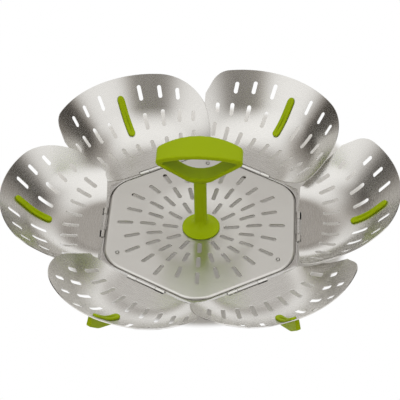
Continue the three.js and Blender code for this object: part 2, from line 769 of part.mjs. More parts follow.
function baseFoot() {
  const shoulder = frameBottom - clearance;
  const neckTop = plateUnderside - clearance;
  const bore = rivetShankRadius + clearance;
  return revolved([
    [0, 0],
    [legFootRadius - legEdgeRadius, 0],
    [legFootRadius, legEdgeRadius],
    [legRadius, shoulder],
    [legNeckRadius, shoulder],
    [legNeckRadius, neckTop],
    [bore, neckTop],
    [bore, neckTop - rivetDepth - clearance],
    [0, neckTop - rivetDepth - clearance],
  ], legSteps);
}

function footRivet() {
  const headLow = plateHeight + seatGap;
  const low = plateUnderside - clearance - rivetDepth;
  return revolved([
    [0, low],
    [rivetShankRadius, low],
    [rivetShankRadius, headLow],
    [rivetHeadRadius, headLow],
    [rivetHeadRadius / Math.SQRT2, headLow + rivetHeadHeight / Math.SQRT2],
    [0, headLow + rivetHeadHeight],
  ], rivetSteps);
}

// Assembly

const basket = new THREE.Group();
basket.add(part("base_plate", geometryOf(basePlate()), steel));
basket.add(part("base_frame", geometryOf(baseFrame()), steel));
basket.add(part("handle", geometryOf(handle()), green));
basket.add(part("handle_screw", geometryOf(solidOf(handleScrew())), darkSteel));
basket.add(part("handle_washer", geometryOf(solidOf(handleWasher())), darkSteel));

const footGeometry = geometryOf(solidOf(baseFoot()));
const rivetGeometry = geometryOf(solidOf(footRivet()));
for (let i = 0; i < legCount; i += 1) {
  const station = new THREE.Group();
  station.rotation.z = quarterTurn + legTurn + (i * fullTurn) / legCount;
  const foot = part(`base_foot_${i + 1}`, footGeometry, green);
  const rivet = part(`foot_rivet_${i + 1}`, rivetGeometry, darkSteel);
  foot.position.x = legCircleRadius;
  rivet.position.x = legCircleRadius;
  station.add(foot, rivet);
  basket.add(station);
}

const petalGeometry = geometryOf(petal());
const petalFootGeometry = geometryOf(petalFoot());
const pinGeometry = geometryOf(solidOf(rod(pinRadius, -petalKnuckleEnd, petalKnuckleEnd)));
for (let i = 0; i < petalCount; i += 1) {
  const station = new THREE.Group();
  const hinge = new THREE.Group();
  station.rotation.z = (i * fullTurn) / petalCount;
  hinge.position.set(hingeApothem, 0, hingeHeight);
  hinge.add(part(`petal_${i + 1}`, petalGeometry, steel));
  hinge.add(part(`petal_foot_${i + 1}`, petalFootGeometry, green));
  hinge.add(part(`hinge_pin_${i + 1}`, pinGeometry, darkSteel));
  station.add(hinge);
  basket.add(station);
}

export default basket;
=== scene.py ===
from math import asin, atan, atan2, cos, hypot, pi, radians, sin, tan

import bmesh
import bpy
import numpy as np
from mathutils import Matrix, Vector


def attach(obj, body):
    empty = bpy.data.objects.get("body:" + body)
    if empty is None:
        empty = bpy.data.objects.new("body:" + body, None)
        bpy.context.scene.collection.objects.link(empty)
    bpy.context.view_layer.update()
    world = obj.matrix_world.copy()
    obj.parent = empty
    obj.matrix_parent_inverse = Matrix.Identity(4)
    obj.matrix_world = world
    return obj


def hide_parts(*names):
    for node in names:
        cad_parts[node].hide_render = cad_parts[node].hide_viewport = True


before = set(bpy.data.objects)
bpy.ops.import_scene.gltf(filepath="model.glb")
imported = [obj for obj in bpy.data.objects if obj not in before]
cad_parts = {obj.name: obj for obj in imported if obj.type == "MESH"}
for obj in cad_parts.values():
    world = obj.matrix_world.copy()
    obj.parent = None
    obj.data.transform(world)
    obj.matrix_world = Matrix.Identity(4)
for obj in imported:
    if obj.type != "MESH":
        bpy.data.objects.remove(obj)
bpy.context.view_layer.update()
scene = bpy.context.scene
scene.view_settings.view_transform = "Standard"
toMetres = Matrix.Scale(0.001, 4)  # every size below is in millimetres
sides = 6
quarter = [pi / 8 * k for k in range(5)]  # turns of a quarter round

# Helpers


def addNode(tree, kind, links=None, **settings):  # a node among the links stands for its first output
    node = tree.nodes.new(kind)
    for name, value in settings.items():
        setattr(node, name, value)
    for name, value in (links or {}).items():
        if isinstance(value, bpy.types.Node):
            value = value.outputs[0]
        if isinstance(value, bpy.types.NodeSocket):
            tree.links.new(value, node.inputs[name])
        else:
            node.inputs[name].default_value = value
    return node


def hexColour(text):
    parts = [int(text[i:i + 2], 16) / 255 for i in (0, 2, 4)]
    return [c / 12.92 if c <= 0.04045 else ((c + 0.055) / 1.055) ** 2.4 for c in parts] + [1]


white = hexColour("ffffff")


def startMaterial(name):
    made = bpy.data.materials.new(name)
    made.use_nodes = True
    made.node_tree.nodes.clear()
    return made, made.node_tree


def finishNodes(tree, place, pattern, look):  # what the steel and the plastic share, for the shader's sockets
    cloud = addNode(tree, "ShaderNodeTexNoise", {"Vector": place, "Scale": look["cloudScale"], "Detail": 2.0})
    tint = addNode(tree, "ShaderNodeMix", {
        0: cloud.outputs["Fac"], 6: hexColour(look["colours"][0]), 7: hexColour(look["colours"][1]),
    }, data_type="RGBA")
    rough = addNode(tree, "ShaderNodeMapRange", {
        "Value": pattern, "From Min": 0.3, "From Max": 0.7,
        "To Min": look["roughness"][0], "To Max": look["roughness"][1],
    })
    bump = addNode(tree, "ShaderNodeBump", {
        "Height": pattern, "Strength": look["relief"], "Distance": look["depth"] / 1000,
    })
    return {"Base Color": tint.outputs[2], "Roughness": rough, "Normal": bump}


def startTree(name, inputs, output):
    tree = bpy.data.node_groups.new(name, "GeometryNodeTree")
    for socket, kind in inputs.items():
        tree.interface.new_socket(socket, in_out="INPUT", socket_type="NodeSocket" + kind)
    tree.interface.new_socket(output, in_out="OUTPUT", socket_type="NodeSocketGeometry")
    return tree, addNode(tree, "NodeGroupInput").outputs


def addObject(name, mesh):
    made = bpy.data.objects.new(name, mesh)
    scene.collection.objects.link(made)
    return made


def meshObject(name, points, faces):
    mesh = bpy.data.meshes.new(name)
    mesh.from_pydata([tuple(p) for p in points], [], faces)
    mesh.update()
    return addObject(name, mesh)


def arc(x, y, radius, start, end, steps):
    turns = [start + (end - start) * i / steps for i in range(steps + 1)]
    return [(x + radius * cos(a), y + radius * sin(a)) for a in turns]


def roundedOutline(corners, steps):  # corners (x, y, radius), anticlockwise
    points = []
    for i, (x, y, radius) in enumerate(corners):
        here = Vector((x, y))
        back = (Vector(corners[i - 1][:2]) - here).normalized()
        ahead = (Vector(corners[(i + 1) % len(corners)][:2]) - here).normalized()
        if not radius:
            points.append((x, y))
            continue
        half = back.angle(ahead) / 2
        middle = (back + ahead).normalized() * (radius / sin(half))
        sense = 1 if back.y * ahead.x - back.x * ahead.y > 0 else -1
        swing = sense * (pi / 2 - half)
        facing = atan2(-middle.y, -middle.x)
        points += arc(*(here + middle), radius, facing - swing, facing + swing, steps)
    return points


def prism(name, outline, low, high, place=None):
    count = len(outline)
    points = [(x, y, low) for x, y in outline] + [(x, y, high) for x, y in outline]
    faces = [list(range(count))[::-1], list(range(count, 2 * count))]
    faces += [[i, (i + 1) % count, count + (i + 1) % count, count + i] for i in range(count)]
    made = meshObject(name, points, faces)
    if place:
        made.data.transform(place)
    return made


def loft(name, rings, closed=False):  # rings of points, joined in order
    count = len(rings[0])
    faces = []
    for row in range(len(rings) - (0 if closed else 1)):
        here, there = row * count, (row + 1) % len(rings) * count
        for i in range(count):
            after = (i + 1) % count
            faces.append([here + i, here + after, there + after, there + i])
    if not closed:
        faces += [list(range(count))[::-1], list(range((len(rings) - 1) * count, len(rings) * count))]
    made = meshObject(name, [p for ring in rings for p in ring], faces)
    outwards(made.data)
    return made


def outwards(mesh):
    work = bmesh.new()
    work.from_mesh(mesh)
    bmesh.ops.remove_doubles(work, verts=work.verts, dist=1e-5)
    bmesh.ops.dissolve_degenerate(work, edges=work.edges, dist=1e-6)
    bmesh.ops.recalc_face_normals(work, faces=work.faces)
    work.to_mesh(mesh)
    work.free()


def turned(name, profile, steps, closed=False):  # (radius, height) pairs turned about the vertical axis
    turns = [2 * pi * i / steps for i in range(steps)]
    rings = [[(max(r, 1e-6) * cos(a), max(r, 1e-6) * sin(a), z) for a in turns] for r, z in profile]
    return loft(name, rings, closed)


def modify(thing, kind, **settings):
    modifier = thing.modifiers.new(kind.title(), kind)
    for name, value in settings.items():
        setattr(modifier, name, value)
    return modifier


def cut(thing, tool, operation="DIFFERENCE"):
    modify(thing, "BOOLEAN", operation=operation, object=tool, solver="MANIFOLD")
    settle(thing)
    bpy.data.objects.remove(tool)
    return thing


def settle(thing):  # turns the evaluated result into a plain mesh and drops the modifiers
    bpy.context.view_layer.update()
    evaluated = thing.evaluated_get(bpy.context.evaluated_depsgraph_get())
    mesh = bpy.data.meshes.new_from_object(evaluated)
    thing.modifiers.clear()
    thing.data = mesh


def runTree(thing, tree, values):  # with the values for its inputs by name
    modifier = modify(thing, "NODES", node_group=tree)
    for socket in tree.interface.items_tree:
        if socket.name in values:
            value = values[socket.name]
            modifier[socket.identifier] = float(value) if socket.socket_type == "NodeSocketFloat" else value
    settle(thing)


def joinInto(thing, *others):
    work = bmesh.new()
    for other in (thing, *others):
        work.from_mesh(other.data)
    work.to_mesh(thing.data)
    work.free()
    for other in others:
        bpy.data.objects.remove(other)


def smooth(mesh, angle=35):
    mesh.shade_smooth()
    mesh.set_sharp_from_angle(angle=radians(angle))


def hexagon(apothem, radius, steps):
    reach = apothem / cos(pi / sides)
    turns = [(2 * i + 1) * pi / sides for i in range(sides)]
    return roundedOutline([(reach * cos(a), reach * sin(a), radius) for a in turns], steps)


# Camera, from the vanishing of the plate's and petals' edges in the photograph

cameraFit = {
    "azimuth": 3.732, "elevation": 42.996, "roll": -1.249, "distance": 1186, "target": (-2.023, 25.908, 25),
    "lens": 141.66,
}


def placeCamera(fit):
    azimuth, elevation, roll = (radians(fit[k]) for k in ("azimuth", "elevation", "roll"))
    back = Vector((sin(azimuth) * cos(elevation), -cos(azimuth) * cos(elevation), sin(elevation)))
    right = (-back).cross(Vector((0, 0, 1))).normalized()
    up = back.cross(right)
    rolled = Matrix((right * cos(roll) + up * sin(roll), up * cos(roll) - right * sin(roll), back))
    data = bpy.data.cameras.new("camera")
    data.lens = fit["lens"]
    data.sensor_width = 36
    data.clip_end = 20
    camera = bpy.data.objects.new("camera", data)
    scene.collection.objects.link(camera)
    place = rolled.transposed().to_4x4()
    place.translation = (Vector(fit["target"]) + back * fit["distance"]) / 1000
    camera.matrix_world = place
    scene.camera = camera


placeCamera(cameraFit)

# Floor, soft boxes and background

studio = {
    # soft boxes and cards: azimuth from the back, clockwise, elevation, inner and outer reach in degrees,
    # strength
    "boxes": [
        (0, 20, 14, 44, 1.08),
        (0, 43, 6, 20, 0.3),
        (-71, 19, 6, 23, 0.04),
        (69, 18, 6, 23, 0.04),
        (168, 36, 8, 30, 0.16),
        (-119, 38, 16, 38, 1.18),
        (111, 36, 14, 36, 1.12),
        (0, 88, 22, 48, 1.2),
    ],
    "roomStrength": 0.29,
    "shadeColour": "e3d3c2",  # the darker the room, the warmer
    "floorColour": "f2efea",
    "floorSize": 6,  # metres
    "shadows": [(0, 24, 108, 101), (0, 66, 122, 98)],  # ovals of floor that keep their shade: middle, reach
    "shadowEdge": (0.98, 1.05),  # share of the reach over which the shade ends
    "glow": 0.06,
}


def direction(azimuth, elevation):
    a, e = radians(azimuth), radians(elevation)
    return (sin(a) * cos(e), cos(a) * cos(e), sin(e))


def buildSky(look):
    world = bpy.data.worlds.new("studioSky")
    scene.world = world
    world.use_nodes = True
    tree = world.node_tree
    tree.nodes.clear()
    heading = addNode(tree, "ShaderNodeTexCoord").outputs["Generated"]
    level = look["roomStrength"]
    for azimuth, elevation, inner, outer, strength in look["boxes"]:
        near = addNode(tree, "ShaderNodeVectorMath", {0: heading, 1: direction(azimuth, elevation)},
                       operation="DOT_PRODUCT")
        mask = addNode(tree, "ShaderNodeMapRange", {
            "Value": near.outputs["Value"], "From Min": cos(radians(outer)), "From Max": cos(radians(inner)),
        }, interpolation_type="SMOOTHSTEP")
        level = addNode(tree, "ShaderNodeMix", {0: mask, 2: level, 3: strength})
    path = addNode(tree, "ShaderNodeLightPath").outputs
    seen = addNode(tree, "ShaderNodeMath", {0: path["Is Camera Ray"], 1: path["Is Transmission Ray"]},
                   operation="MAXIMUM")
    tint = addNode(tree, "ShaderNodeMix", {0: level, 6: hexColour(look["shadeColour"]), 7: white},
                   data_type="RGBA")
    room = addNode(tree, "ShaderNodeBackground", {"Color": tint.outputs[2], "Strength": level})
    bright = addNode(tree, "ShaderNodeBackground", {"Color": white, "Strength": 1.0})
    mixed = addNode(tree, "ShaderNodeMixShader", {0: seen, 1: room, 2: bright})
    addNode(tree, "ShaderNodeOutputWorld", {"Surface": mixed})


# Matt white paper: the camera and the steel see it white, except under the object, where its shadow lies
def buildFloor(look):
    floor = meshObject("floor", [(-1, -1, 0), (1, -1, 0), (1, 1, 0), (-1, 1, 0)], [[0, 1, 2, 3]])
    floor.data.transform(Matrix.Scale(look["floorSize"], 4))
    paper, tree = startMaterial("white paper")
    place = addNode(tree, "ShaderNodeTexCoord").outputs["Object"]
    clear = 1.0
    for x, y, reachX, reachY in look["shadows"]:
        oval = addNode(tree, "ShaderNodeMapping", {
            "Vector": place, "Location": (-x / reachX, -y / reachY, 0),
            "Scale": (1000 / reachX, 1000 / reachY, 0),
        })
        away = addNode(tree, "ShaderNodeVectorMath", {0: oval}, operation="LENGTH")
        outside = addNode(tree, "ShaderNodeMapRange", {
            "Value": away.outputs["Value"], "From Min": look["shadowEdge"][0],
            "From Max": look["shadowEdge"][1], "To Min": look["glow"],
        }, interpolation_type="SMOOTHSTEP")
        clear = addNode(tree, "ShaderNodeMath", {0: clear, 1: outside}, operation="MINIMUM")
    path = addNode(tree, "ShaderNodeLightPath").outputs
    seen = addNode(tree, "ShaderNodeMath", {0: path["Is Camera Ray"], 1: path["Is Glossy Ray"]},
                   operation="MAXIMUM")
    share = addNode(tree, "ShaderNodeMath", {0: seen, 1: clear}, operation="MULTIPLY")
    matt = addNode(tree, "ShaderNodeBsdfDiffuse", {"Color": hexColour(look["floorColour"])})
    glow = addNode(tree, "ShaderNodeEmission", {"Color": white, "Strength": 1.0})
    mixed = addNode(tree, "ShaderNodeMixShader", {0: share, 1: matt, 2: glow})
    addNode(tree, "ShaderNodeOutputMaterial", {"Surface": mixed})
    floor.data.materials.append(paper)


buildSky(studio)
buildFloor(studio)
print("stage ready")

# Materials: sRGB colours, roughness, depth of the relief in mm, scale of the faint clouds in the colour

steelShared = {"width": 0.35, "bend": 0, "relief": 0.5, "cloudScale": 35.0}  # width of a line in mm
steels = {
    "plate": {**steelShared, "name": "brushed stainless steel, plate", "colours": ("d5d3ce", "dcdad5"),
              "roughness": (0.28, 0.34), "depth": 0.006, "spread": 0.8},
    "frame": {**steelShared, "name": "stamped stainless steel, frame", "colours": ("cdcbc8", "d4d2cf"),
              "roughness": (0.2, 0.28), "depth": 0.01, "spread": 0.5},
    "petal": {**steelShared, "name": "brushed stainless steel, petal", "colours": ("d8d6d2", "dedcd8"),
              "roughness": (0.24, 0.3), "depth": 0.004, "spread": 0.8, "bend": 100},
    "rivet": {**steelShared, "name": "upset rivet steel", "colours": ("cbc9c4", "d3d1cc"),
              "roughness": (0.3, 0.4), "depth": 0.004, "spread": 0.2, "width": 0.3},
    "wire": {**steelShared, "name": "drawn steel, wire and screw", "colours": ("b5b2ae", "c2bfbb"),
             "roughness": (0.25, 0.35), "depth": 0.01, "spread": 0.2, "width": 0.3},
}
lineLength = 40  # times its width
green = {"name": "moulded green polypropylene", "colours": ("9fb500", "a5bb00"), "roughness": (0.42, 0.52),
         "grit": 0.625, "depth": 0.04, "relief": 0.2, "cloudScale": 60.0}


# Stainless steel 18/10, rolled and finely brushed: a satin gloss that spreads across faint lines. The lines
# are drawn wider than real ones, which are too fine to show, and on a petal they bend with the bowl
def brushedSteel(look, grainTurn=0, ending=""):
    made, tree = startMaterial(look["name"] + ending)
    place = addNode(tree, "ShaderNodeTexCoord").outputs["Object"]
    width = look["width"] / 1000
    length = width if look["bend"] else lineLength * width
    lines = addNode(tree, "ShaderNodeMapping", {
        "Vector": place, "Rotation": (0, 0, grainTurn), "Scale": (length, width, width),
    }, vector_type="TEXTURE")
    if look["bend"]:  # rounds about the middle, with the length right at this distance in mm
        flat = addNode(tree, "ShaderNodeVectorMath", {0: lines, 1: (1, 1, 0)}, operation="MULTIPLY")
        out = addNode(tree, "ShaderNodeVectorMath", {0: flat}, operation="LENGTH")
        parts = addNode(tree, "ShaderNodeSeparateXYZ", {0: lines}).outputs
        turn = addNode(tree, "ShaderNodeMath", {0: parts["Y"], 1: parts["X"]}, operation="ARCTAN2")
        run = addNode(tree, "ShaderNodeMath", {0: turn, 1: look["bend"] / look["width"] / lineLength},
                      operation="MULTIPLY")
        lines = addNode(tree, "ShaderNodeCombineXYZ", {"X": run, "Y": out.outputs["Value"], "Z": parts["Z"]})
    grain = addNode(tree, "ShaderNodeTexNoise", {"Vector": lines, "Scale": 1.0, "Detail": 3.0})
    along = addNode(tree, "ShaderNodeCombineXYZ", {"X": cos(grainTurn), "Y": sin(grainTurn)})
    steel = addNode(tree, "ShaderNodeBsdfPrincipled", {
        **finishNodes(tree, place, grain.outputs["Fac"], look), "Metallic": 1.0,
        "Anisotropic": look["spread"], "Anisotropic Rotation": 0.25, "Tangent": along,
    })
    addNode(tree, "ShaderNodeOutputMaterial", {"Surface": steel})
    return made


# Moulded polypropylene, dyed green: a fine spark-eroded skin that softens the highlights
def mouldedPlastic(look):
    made, tree = startMaterial(look["name"])
    place = addNode(tree, "ShaderNodeTexCoord").outputs["Object"]
    skin = addNode(tree, "ShaderNodeTexNoise", {"Vector": place, "Scale": 1000 / look["grit"], "Detail": 2.0})
    body = addNode(tree, "ShaderNodeBsdfPrincipled", {
        **finishNodes(tree, place, skin.outputs["Fac"], look), "IOR": 1.49, "Specular IOR Level": 0.1,
    })
    addNode(tree, "ShaderNodeOutputMaterial", {"Surface": body})
    return made


plateSteel = brushedSteel(steels["plate"])
frameSteel = brushedSteel(steels["frame"])
rivetSteel = brushedSteel(steels["rivet"])
wireSteel = brushedSteel(steels["wire"])
greenPlastic = mouldedPlastic(green)


def finish(piece, body, material, nodes, place=toMetres):
    piece.data.transform(place)
    piece.data.materials.clear()
    piece.data.materials.append(material)
    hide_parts(*nodes)
    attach(piece, body)
    print(piece.name, len(piece.data.polygons), "faces")


# Node tree that cuts rows of round-ended slots out of a flat sheet. Each place has a rod, half of which moves
# along the slot and half back, and which is then stretched upright through the sheet

slotInputs = {"Slot Places": "Geometry", "Blank": "Object", "Slot Width": "Float"}


def slotCuttingTree():
    tree, given = startTree("cutSlots", slotInputs, "Sheet")
    blank = addNode(tree, "GeometryNodeObjectInfo", {"Object": given["Blank"]}).outputs["Geometry"]
    radius = addNode(tree, "ShaderNodeMath", {0: given["Slot Width"], 1: 0.5}, operation="MULTIPLY")
    rod = addNode(tree, "GeometryNodeMeshCylinder", {"Vertices": 24, "Radius": radius, "Depth": 0.02})
    where = addNode(tree, "GeometryNodeInputPosition")
    parts = addNode(tree, "ShaderNodeSeparateXYZ", {0: where}).outputs
    for name, part in (("end", "X"), ("level", "Z")):
        sense = addNode(tree, "ShaderNodeMath", {0: parts[part]}, operation="SIGN")
        rod = addNode(tree, "GeometryNodeStoreNamedAttribute", {"Geometry": rod, "Name": name, "Value": sense})
    turn = addNode(tree, "GeometryNodeInputNamedAttribute", {"Name": "turn"}, data_type="FLOAT_VECTOR")
    heading = addNode(tree, "FunctionNodeEulerToRotation", {0: turn})
    rods = addNode(tree, "GeometryNodeInstanceOnPoints", {
        "Points": given["Slot Places"], "Instance": rod, "Rotation": heading,
    })
    real = addNode(tree, "GeometryNodeRealizeInstances", {"Geometry": rods})
    along = addNode(tree, "GeometryNodeInputNamedAttribute", {"Name": "along"}, data_type="FLOAT_VECTOR")
    side = addNode(tree, "GeometryNodeInputNamedAttribute", {"Name": "end"}, data_type="FLOAT")
    stretch = addNode(tree, "ShaderNodeVectorMath", {0: along, "Scale": side}, operation="SCALE")
    long = addNode(tree, "GeometryNodeSetPosition", {"Geometry": real, "Offset": stretch})
    where = addNode(tree, "GeometryNodeInputPosition")
    parts = addNode(tree, "ShaderNodeSeparateXYZ", {0: where}).outputs
    level = addNode(tree, "GeometryNodeInputNamedAttribute", {"Name": "level"}, data_type="FLOAT")
    tall = addNode(tree, "ShaderNodeMath", {0: level, 1: 5.0}, operation="MULTIPLY")
    upright = addNode(tree, "ShaderNodeCombineXYZ", {"X": parts["X"], "Y": parts["Y"], "Z": tall})
    cutters = addNode(tree, "GeometryNodeSetPosition", {"Geometry": long, "Position": upright})
    holed = addNode(tree, "GeometryNodeMeshBoolean", {"Mesh 1": blank, "Mesh 2": cutters},
                    operation="DIFFERENCE", solver="MANIFOLD")
    normal = addNode(tree, "GeometryNodeInputNormal")
    parts = addNode(tree, "ShaderNodeSeparateXYZ", {0: normal}).outputs
    upper = addNode(tree, "FunctionNodeCompare", {0: parts["Z"], 1: 0.5}, operation="GREATER_THAN")
    top = addNode(tree, "GeometryNodeSeparateGeometry", {"Geometry": holed, "Selection": upper}, domain="FACE")
    addNode(tree, "NodeGroupOutput", {"Sheet": top})
    return tree


cutSlots = slotCuttingTree()


def formTree(name, sizes):  # starts a tree that forms the slotted sheet, with named inputs for its sizes
    tree, given = startTree(name, slotInputs | {size: "Float" for size in sizes}, "Formed")
    sheet = addNode(tree, "GeometryNodeGroup", {name: given[name] for name in slotInputs}, node_tree=cutSlots)
    return tree, given, sheet, addNode(tree, "GeometryNodeInputPosition")


def closeTree(tree, sheet, where, height):
    parts = addNode(tree, "ShaderNodeSeparateXYZ", {0: where}).outputs
    place = addNode(tree, "ShaderNodeCombineXYZ", {"X": parts["X"], "Y": parts["Y"], "Z": height})
    pressed = addNode(tree, "GeometryNodeSetPosition", {"Geometry": sheet, "Position": place})
    real = addNode(tree, "GeometryNodeRealizeInstances", {"Geometry": pressed})
    coated = addNode(tree, "GeometryNodeSetMaterial", {"Geometry": real, "Material": plateSteel})
    addNode(tree, "NodeGroupOutput", {"Formed": coated})


def dishTree():
    sizes = ["Floor Radius", "Edge Radius", "Floor Height", "Edge Height"]
    tree, given, sheet, where = formTree("dishedPlate", sizes)
    radius = addNode(tree, "ShaderNodeVectorMath", {0: where}, operation="LENGTH").outputs["Value"]
    height = addNode(tree, "ShaderNodeMapRange", {
        "Value": radius, "From Min": given["Floor Radius"], "From Max": given["Edge Radius"],
        "To Min": given["Floor Height"], "To Max": given["Edge Height"],
    }, interpolation_type="SMOOTHSTEP")
    closeTree(tree, sheet, where, height)
    return tree


def bowlTree():  # round the bowl's axis a flat floor, a curve up to the wall's angle, then a straight wall
    sizes = ["Axis X", "Axis Y", "Flat Radius", "Curve Radius", "Wall Angle", "Face Height"]
    tree, given, sheet, where = formTree("bowlPetal", sizes)
    axis = addNode(tree, "ShaderNodeCombineXYZ", {"X": given["Axis X"], "Y": given["Axis Y"]})
    flat = addNode(tree, "ShaderNodeVectorMath", {0: where, 1: (1, 1, 0)}, operation="MULTIPLY")
    reach = addNode(tree, "ShaderNodeVectorMath", {0: flat, 1: axis}, operation="DISTANCE").outputs["Value"]
    values = {size: given[size] for size in sizes} | {"reach": reach, "none": 0.0, "one": 1.0}
    for result, how, first, second in (
            ("sine", "SINE", "Wall Angle", "none"),
            ("run", "MULTIPLY", "Curve Radius", "sine"),
            ("beyond", "SUBTRACT", "reach", "Flat Radius"),
            ("outside", "MAXIMUM", "beyond", "none"),
            ("curved", "MINIMUM", "outside", "run"),
            ("share", "DIVIDE", "curved", "Curve Radius"),
            ("angle", "ARCSINE", "share", "none"),
            ("cosine", "COSINE", "angle", "none"),
            ("lift", "SUBTRACT", "one", "cosine"),
            ("rise", "MULTIPLY", "Curve Radius", "lift"),
            ("over", "SUBTRACT", "beyond", "run"),
            ("past", "MAXIMUM", "over", "none"),
            ("slope", "TANGENT", "Wall Angle", "none"),
            ("wall", "MULTIPLY", "past", "slope"),
            ("both", "ADD", "rise", "wall"),
            ("height", "ADD", "both", "Face Height")):
        values[result] = addNode(tree, "ShaderNodeMath", {0: values[first], 1: values[second]}, operation=how)
    closeTree(tree, sheet, where, values["height"])
    return tree


def formed(name, slotPlaces, blank, tree, sizes):  # runs a forming tree on its slot places
    made = meshObject(name, [s["at"] for s in slotPlaces], [])
    for label in ("turn", "along"):
        made.data.attributes.new(label, "FLOAT_VECTOR", "POINT").data.foreach_set(
            "vector", [c for s in slotPlaces for c in s[label]])
    runTree(made, tree, sizes | {"Blank": blank})
    bpy.data.objects.remove(blank)
    return made


def gridSlab(name, lowX, highX, lowY, highY, step):  # closed slab with a grid of faces above and below
    countX = round((highX - lowX) / step) + 1
    countY = round((highY - lowY) / step) + 1
    xs, ys = np.linspace(lowX, highX, countX), np.linspace(lowY, highY, countY)
    points = [(x, y, z) for z in (-1, 1) for y in ys for x in xs]
    faces = []
    shift = countX * countY
    for j in range(countY - 1):
        for i in range(countX - 1):
            a = j * countX + i
            b = a + shift
            faces.append([a, a + countX, a + countX + 1, a + 1])
            faces.append([b, b + 1, b + countX + 1, b + countX])
    loop = list(range(countX)) + [j * countX + countX - 1 for j in range(1, countY)]
    loop += [(countY - 1) * countX + i for i in range(countX - 2, -1, -1)]
    loop += [j * countX for j in range(countY - 2, 0, -1)]
    for a, b in zip(loop, loop[1:] + loop[:1]):
        faces.append([a, b, b + shift, a + shift])
    return meshObject(name, points, faces)


# Base plate: pressed into a shallow dish, slotted, with its rim rolled down

plate = {
    "top": 25, "apothem": 69.3, "cornerRadius": 24, "thickness": 0.8, "rimDepth": 2.6, "rimRadius": 1.6,
    "dishDepth": 3.5, "floorRadius": 15, "edgeRadius": 47, "step": 1.4, "rimStart": 64,
    "slotLength": 11.9, "slotWidth": 3.3, "slotMargin": 7.1, "slotPitch": 16.8, "slotStagger": 4.25,
    "directions": 24, "mainRows": 3, "staggeredRows": 2, "rivets": 3, "rivetCircle": 67.5,
    "rivetTurn": 88.4, "holeRadius": 1.2,
}


def hexagonNormal(x, y, apothem, cornerRadius):  # outward direction at a point of the rounded outline
    turn = atan2(y, x)
    flat = round(turn / (2 * pi / sides)) * (2 * pi / sides)
    offset = turn - flat
    fromMiddle = hypot(x, y) * sin(offset)
    straight = (apothem - cornerRadius) * tan(pi / sides)
    if abs(fromMiddle) <= straight:
        return cos(flat), sin(flat)
    corner = flat + (pi / sides if offset > 0 else -pi / sides)
    reach = (apothem - cornerRadius) / cos(pi / sides)
    dx, dy = x - reach * cos(corner), y - reach * sin(corner)
    return dx / hypot(dx, dy), dy / hypot(dx, dy)


def buildPlate(s):
    flatApothem = s["apothem"] - s["rimRadius"]
    flatCorner = s["cornerRadius"] - s["rimRadius"]
    reach = s["apothem"] * 1.2
    blank = gridSlab("plateBlank", -reach, reach, -reach, reach, s["step"])
    cut(blank, prism("outline", hexagon(flatApothem, flatCorner, 16), -3, 3), "INTERSECT")
    holes = []
    for i in range(s["rivets"]):
        turn = radians(s["rivetTurn"]) + 2 * pi * i / s["rivets"]
        holes.append(Vector((s["rivetCircle"] * cos(turn), s["rivetCircle"] * sin(turn))))
        cut(blank, prism("rivetHole", arc(*holes[i], s["holeRadius"], 0, 2 * pi, 20)[:-1], -4, 4))
    places = []
    for i in range(s["directions"]):
        turn = 2 * pi * i / s["directions"]
        staggered = i % 2
        start = s["apothem"] - s["slotMargin"] - s["slotLength"] / 2 - staggered * s["slotStagger"]
        half = (s["slotLength"] - s["slotWidth"]) / 2
        for row in range(s["staggeredRows"] if staggered else s["mainRows"]):
            out = start - row * s["slotPitch"]
            places.append({"at": (out * cos(turn), out * sin(turn), 0), "turn": (0, 0, turn),
                           "along": (half * cos(turn), half * sin(turn), 0)})
    made = formed("basePlate", places, blank, dishTree(), {
        "Slot Width": s["slotWidth"], "Floor Radius": s["floorRadius"], "Edge Radius": s["edgeRadius"],
        "Floor Height": s["top"] - s["dishDepth"], "Edge Height": s["top"],
    })
    rollRim(made.data, s, holes, flatApothem, flatCorner)
    modify(made, "SOLIDIFY", thickness=s["thickness"], offset=-1, use_even_offset=True)
    settle(made)
    smooth(made.data)
    finish(made, "base", plateSteel, ["base_plate"])


def rollRim(mesh, s, holes, apothem, cornerRadius):  # down from the outline's edge
    work = bmesh.new()
    work.from_mesh(mesh)
    bmesh.ops.remove_doubles(work, verts=work.verts, dist=1e-4)

    def inside(p):  # edges of slots and rivet holes, which stay as they are
        near = 2 * s["holeRadius"]
        return hypot(p.x, p.y) < s["rimStart"] or any((p.xy - hole).length < near for hole in holes)

    rim = [e for e in work.edges if e.is_boundary and not any(inside(v.co) for v in e.verts)]
    bends = [pi / 16 * k for k in range(1, 9)]
    profile = [(s["rimRadius"] * sin(t), s["rimRadius"] * (1 - cos(t))) for t in bends]
    profile.append((s["rimRadius"], s["rimDepth"]))
    ends = [v for e in rim for v in e.verts]
    start = {v: (v.co.copy(), hexagonNormal(v.co.x, v.co.y, apothem, cornerRadius)) for v in ends}
    current = {v: v for v in start}
    for out, down in profile:
        grown = {}
        for v in start:
            origin, (nx, ny) = start[v]
            grown[v] = work.verts.new((origin.x + nx * out, origin.y + ny * out, origin.z - down))
        for e in rim:
            a, b = e.verts
            work.faces.new([current[a], current[b], grown[b], grown[a]])
        current = grown
    bmesh.ops.recalc_face_normals(work, faces=work.faces)
    if sum(f.normal.z for f in work.faces) < 0:
        bmesh.ops.reverse_faces(work, faces=work.faces)
    work.to_mesh(mesh)
    work.free()


buildPlate(plate)
print("plate ready")

# Base frame: a stamped tray ring with rolled hinge knuckles

